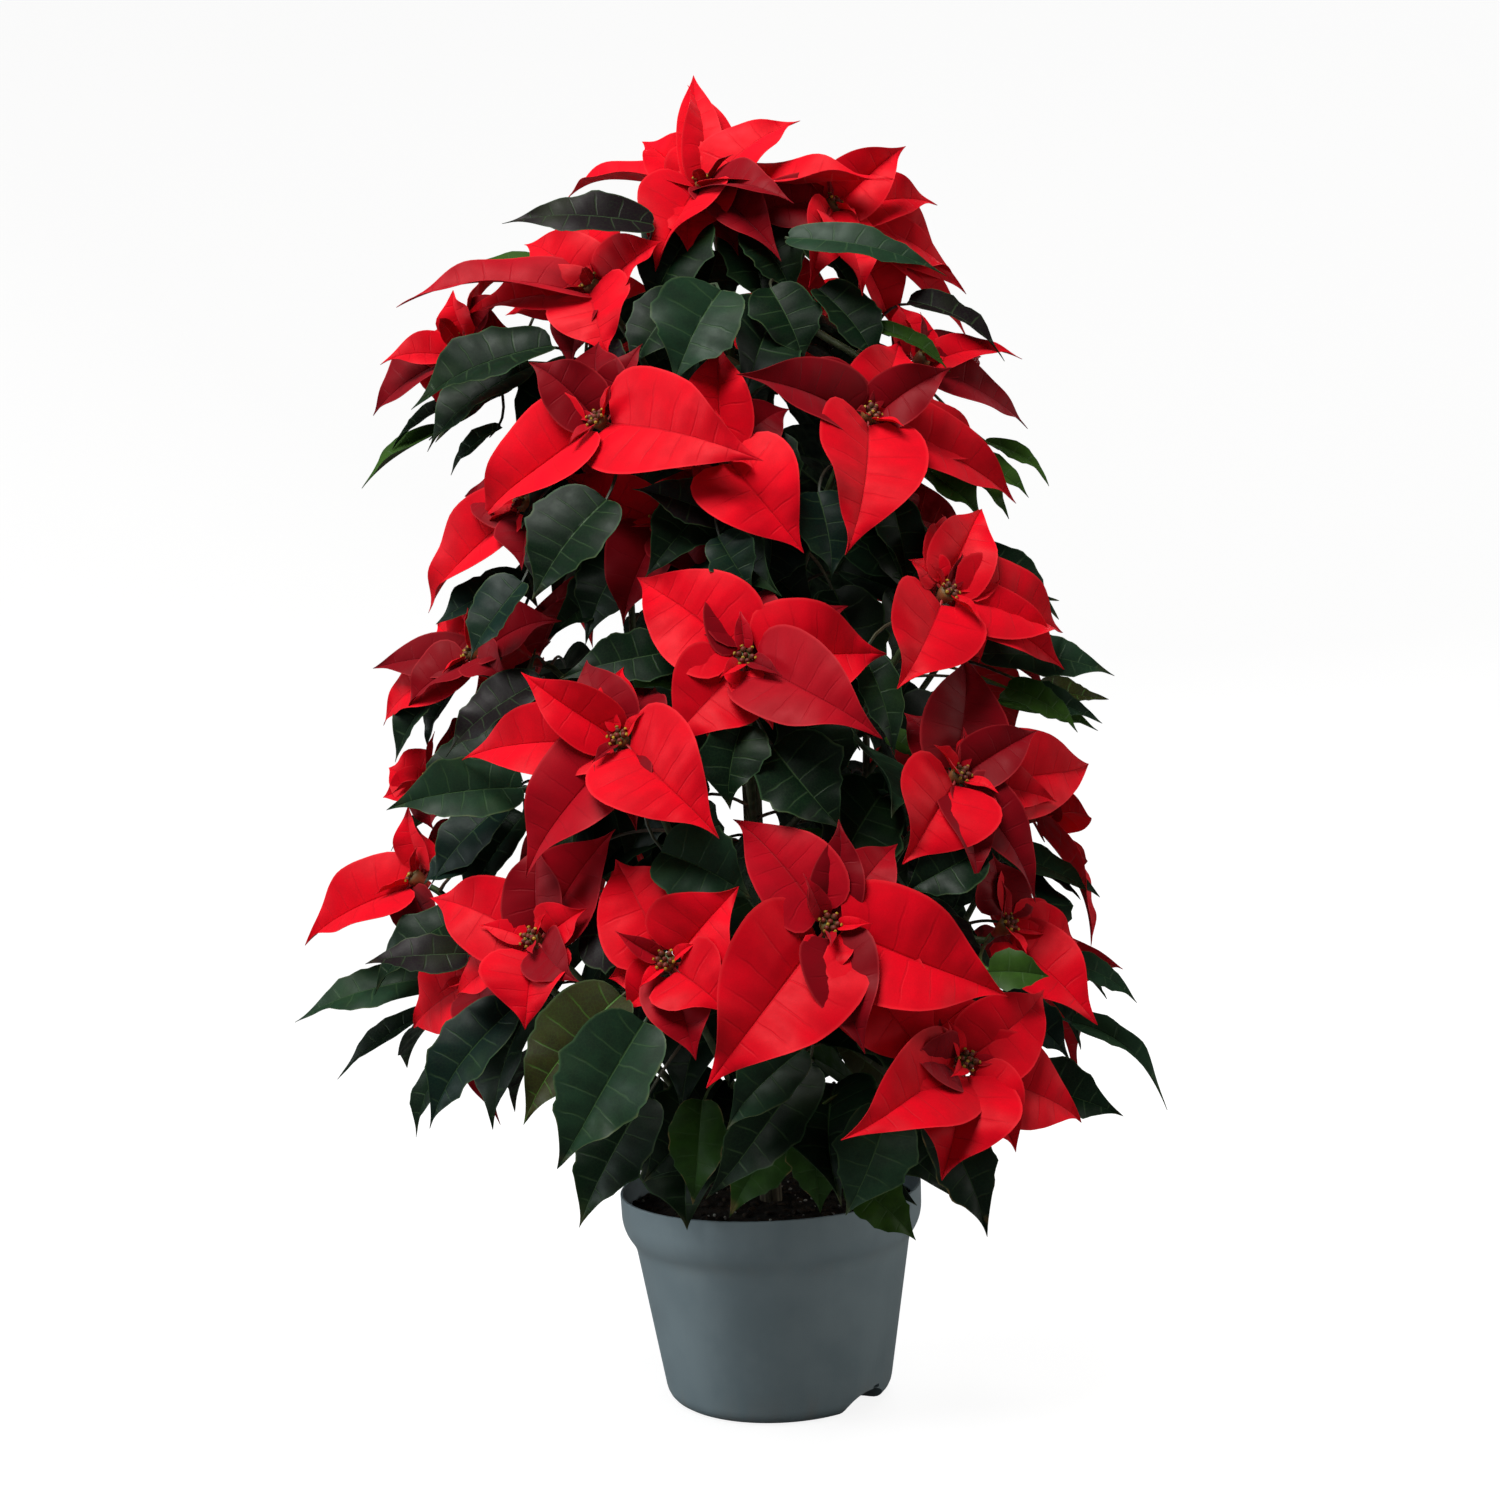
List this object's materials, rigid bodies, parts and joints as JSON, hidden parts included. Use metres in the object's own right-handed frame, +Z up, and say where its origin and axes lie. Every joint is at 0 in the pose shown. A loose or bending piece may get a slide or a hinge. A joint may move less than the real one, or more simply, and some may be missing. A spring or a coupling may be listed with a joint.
{
  "type": "potted poinsettia",
  "caption": "Potted poinsettia trained as a tall pyramid: woody main stem with leafy side shoots, red-bracted blooms, soil and a grey nursery pot with a deep lip.",
  "frame": {"origin": "middle of the pot's flat underside, on the surface that the pot stands on", "axes": "+Z up along the main stem; the side that the picture shows faces -Y"},
  "size_m": [0.6635, 0.5659, 1.005],
  "materials": {
    "pot_plastic": "matte grey moulded plastic",
    "potting_soil": "rough dark peat with a few pale specks",
    "woody_stem": "dull bark",
    "leaf_green": "dark green leaf with a soft sheen and paler veins",
    "bract_red": "saturated red bract, softly satin, with side veins"
  },
  "bodies": {
    "root": {"pot": "pot_plastic", "potting_soil": "potting_soil", "main_stem": "woody_stem", "shoot_top": "leaf_green", "shoot_upper_left": "leaf_green", "shoot_upper_right": "leaf_green", "shoot_left_middle": "leaf_green", "shoot_right_middle": "leaf_green", "shoot_left_lower": "leaf_green", "shoot_centre": "leaf_green", "shoot_right": "leaf_green", "shoot_right_lower": "leaf_green", "shoot_left_centre": "leaf_green", "shoot_low_left": "leaf_green", "shoot_far_left_low": "leaf_green", "shoot_low_centre_left": "leaf_green", "shoot_low_centre": "leaf_green", "shoot_low_right": "leaf_green", "shoot_back_1": "leaf_green", "shoot_back_2": "leaf_green", "shoot_back_3": "leaf_green", "shoot_back_4": "leaf_green", "shoot_back_5": "leaf_green", "shoot_back_6": "leaf_green", "bloom_top": "bract_red", "bloom_upper_left": "bract_red", "bloom_upper_left_second": "bract_red", "bloom_upper_right": "bract_red", "bloom_upper_right_second": "bract_red", "bloom_left_middle": "bract_red", "bloom_left_middle_second": "bract_red", "bloom_right_middle": "bract_red", "bloom_right_middle_second": "bract_red", "bloom_left_lower": "bract_red", "bloom_left_lower_second": "bract_red", "bloom_centre": "bract_red", "bloom_centre_second": "bract_red", "bloom_right": "bract_red", "bloom_right_lower": "bract_red", "bloom_right_lower_second": "bract_red", "bloom_left_centre": "bract_red", "bloom_low_left": "bract_red", "bloom_far_left_low": "bract_red", "bloom_far_left_low_second": "bract_red", "bloom_low_centre_left": "bract_red", "bloom_low_centre": "bract_red", "bloom_low_right": "bract_red", "bloom_back_01": "bract_red", "bloom_back_02": "bract_red", "bloom_back_03": "bract_red", "bloom_back_04": "bract_red", "bloom_back_05": "bract_red", "bloom_back_06": "bract_red", "bloom_back_07": "bract_red", "bloom_back_08": "bract_red", "bloom_back_09": "bract_red", "bloom_back_10": "bract_red", "bloom_back_11": "bract_red", "bloom_back_12": "bract_red", "bloom_back_13": "bract_red"}
  },
  "joints": []
}
